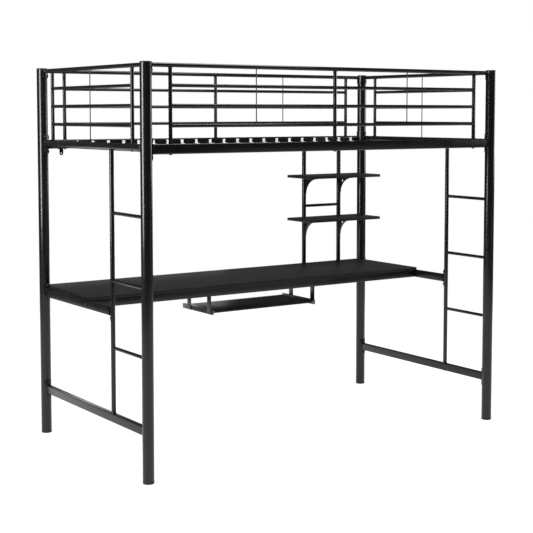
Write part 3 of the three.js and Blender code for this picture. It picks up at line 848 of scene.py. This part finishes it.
one_bolt = node(tree, "GeometryNodeJoinGeometry", links={"Geometry": washer_up.outputs["Geometry"]})
tree.links.new(lower_up.outputs["Geometry"], one_bolt.inputs["Geometry"])
tree.links.new(crown.outputs["Mesh"], one_bolt.inputs["Geometry"])
close_tree(tree, result, placed(tree, given.outputs["Geometry"], one_bolt.outputs["Geometry"]),
           black_oxide)
run_tree("visual_bolts", point_cloud("bolt points", bolts), tree, BOLT_SIZES, "frame")

# %% [markdown]
# ## Weld beads
# A bead is a thin ring laid round a tube where it meets another, painted with the frame. The
# ring is drawn at unit size and scaled to each tube, so thin wires get thin beads.

# %% Weld beads
BEAD_SIZE = {"Bead": 0.16}  # a part of the tube's radius
tree, given, result = new_tree("weld beads", BEAD_SIZE)
ring = node(tree, "GeometryNodeCurvePrimitiveCircle", {"mode": "RADIUS"},
            {"Resolution": 32, "Radius": 1.02})
bead = node(tree, "GeometryNodeCurvePrimitiveCircle", {"mode": "RADIUS"}, {"Resolution": 8},
            {"Radius": given.outputs["Bead"]})
swept = node(tree, "GeometryNodeCurveToMesh",
             links={"Curve": ring.outputs["Curve"], "Profile Curve": bead.outputs["Curve"]})
close_tree(tree, result, placed(tree, given.outputs["Geometry"], swept.outputs["Mesh"], scaled=True),
           powder_coat)
run_tree("visual_weld_beads", point_cloud("weld points", welds), tree, BEAD_SIZE, "frame")

# %% [markdown]
# ## Slat deck
# Twenty-two steel slats lie across two ledges, and a pale nylon clip holds each end. The
# ledges are angle section, drawn out like the rails. The slats and the clips are two rows of
# equal things at one pitch, which a line of points in Geometry Nodes says in one number.

# %% Ledges
low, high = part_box("slat_deck")
LEDGE_W, LEDGE_T, SLAT_H = 22 * MM, 2.5 * MM, 10 * MM
SLATS, SLAT_PITCH, SLAT_W = 22, 86 * MM, 16 * MM
ledges = bmesh.new()
for sy in (-1, 1):
    face = sy * high.y
    y0, y1 = sorted((face, face - sy * LEDGE_W))
    block(ledges, (low.x, y0, low.z), (high.x, y1, low.z + LEDGE_T), 0.8 * MM, 0.5 * MM, 0)
    y0, y1 = sorted((face, face - sy * LEDGE_T))
    block(ledges, (low.x, y0, low.z), (high.x, y1, high.z), 0.8 * MM, 0.5 * MM, 0)
piece("visual_slat_ledges", ledges, powder_coat, "frame", ["slat_deck"])
DECK_TOP, RAIL_FACE = high.z, high.y

# %% Slats and clips
def row_of(name, shape, count, pitch, material):
    """Copies a shape along X at an even pitch, centred on the bed."""
    tree, given, result = new_tree(name, {"Count": count, "Pitch": pitch})
    step = node(tree, "ShaderNodeCombineXYZ", links={"X": given.outputs["Pitch"]})
    line = node(tree, "GeometryNodeMeshLine", {"mode": "OFFSET"},
                {"Start Location": (-(count - 1) * pitch / 2, 0, 0)},
                {"Count": given.outputs["Count"], "Offset": step.outputs["Vector"]})
    copies = node(tree, "GeometryNodeInstanceOnPoints",
                  links={"Points": line.outputs["Mesh"], "Instance": given.outputs["Geometry"]})
    close_tree(tree, result, copies.outputs["Instances"], material)
    data = bpy.data.meshes.new(name)
    bmesh.ops.recalc_face_normals(shape, faces=shape.faces)
    shape.to_mesh(data)
    shape.free()
    return run_tree(name, data, tree, {"Count": count, "Pitch": pitch}, "frame")


slat = bmesh.new()
slat_y = RAIL_FACE - LEDGE_T - MM
block(slat, (-SLAT_W / 2, -slat_y, DECK_TOP - SLAT_H), (SLAT_W / 2, slat_y, DECK_TOP),
      2.5 * MM, 0.5 * MM, 1)
row_of("visual_slats", slat, SLATS, SLAT_PITCH, powder_coat)

CLIP_W, CLIP_RISE = 14.5 * MM, 22 * MM
clip = bmesh.new()
for sy in (-1, 1):
    y0, y1 = sorted((sy * (RAIL_FACE - 0.2 * MM), sy * (RAIL_FACE - 4 * MM)))
    block(clip, (-CLIP_W / 2, y0, DECK_TOP), (CLIP_W / 2, y1, DECK_TOP + CLIP_RISE),
          1.2 * MM, 1.0 * MM, 2)
    y0, y1 = sorted((sy * (RAIL_FACE - 3 * MM), sy * (RAIL_FACE - 24 * MM)))
    block(clip, (-CLIP_W / 2 - MM, y0, DECK_TOP - 0.2 * MM), (CLIP_W / 2 + MM, y1, DECK_TOP + 2.2 * MM),
          1.0 * MM, 0.8 * MM, 2)
row_of("visual_slat_clips", clip, SLATS, SLAT_PITCH, natural_nylon)

# %% [markdown]
# ## Studio
# A catalogue set: white all round, on a round sheet of opal acrylic lit from below, so that no
# shadow falls on it. Tubes this dark are shaped almost only by what they reflect. The lit sheet
# is just wide enough to grey the lower half of the posts, and past its rim the room is dim. The
# soft lights draw the lines: a tall one at the left makes the bright stroke down each post, a
# wide one at the right edges them, and one overhead lights the boards and the top corners of
# the rails. Two low cards lift the desk's front face and the top of the left bottom rail.

# %% Floor
FLOOR_R = 4.0
floor_mesh = bmesh.new()
draw_out(floor_mesh, disc(FLOOR_R, 96), Matrix.Translation((0, 0, -0.05)), 0.05, 1 * MM)
floor_data = bpy.data.meshes.new("studio floor")
floor_mesh.to_mesh(floor_data)
floor_mesh.free()
floor = bpy.data.objects.new("studio_floor", floor_data)
bpy.context.collection.objects.link(floor)
opal_acrylic = finish_material(
    "opal acrylic sheet, lit from below", (0.75, 0.85), ("#6c6c6c", "#727272"),
    {"IOR": 1.49, "Specular IOR Level": 0.0, "Emission Color": (1, 1, 1, 1), "Emission Strength": 1.0},
    grain=6 * MM, mottle=0.8, depth=0.02 * MM)
floor_data.materials.append(opal_acrylic)
floor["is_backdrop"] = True

# %% Surround
world = bpy.data.worlds.new("white surround")
bpy.context.scene.world = world
world.use_nodes = True
sky = world.node_tree
ROOM = 0.10
background = sky.nodes["Background"]
background.inputs["Color"].default_value = (1, 1, 1, 1)
ray = node(sky, "ShaderNodeLightPath")
seen = node(sky, "ShaderNodeMapRange", values={"To Min": ROOM, "To Max": 1.0},
            links={"Value": ray.outputs["Is Camera Ray"]})
sky.links.new(seen.outputs["Result"], background.inputs["Strength"])


# %% Soft lights
def soft_light(name, at, towards, width, height, power):
    """A rectangular soft light aimed at a point."""
    data = bpy.data.lights.new(name, "AREA")
    data.shape, data.size, data.size_y, data.energy = "RECTANGLE", width, height, power
    light = bpy.data.objects.new(name, data)
    light.location = at
    light.visible_camera = False
    light.rotation_euler = (Vector(towards) - Vector(at)).to_track_quat("-Z", "Y").to_euler()
    bpy.context.collection.objects.link(light)


soft_light("tall light, left", (-3.4, -0.2, 2.0), (0, 0, 1.6), 0.9, 2.2, 130)
soft_light("wide light, right", (4.5, -0.4, 2.0), (0, 0, 1.6), 3.6, 1.4, 80)
soft_light("low card, front right", (4.8, -7.2, 0.35), (0, 0, 0.6), 5.0, 0.9, 9)
soft_light("low card, back", (-0.1, 1.3, 0.6), (-0.1, 0, 0.6), 1.3, 0.36, 2)
soft_light("overhead", (0, -0.5, 4.4), (0, 0, 0.8), 3.2, 2.4, 190)
bpy.context.scene.view_settings.view_transform = "Standard"

# %% [markdown]
# ## Sizes
# The dressed model is meant to stay inside the engineering model's box. The size of the dressed model's
# box is printed.

low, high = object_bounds()
print("dressed model:", [round(v, 4) for v in high - low])
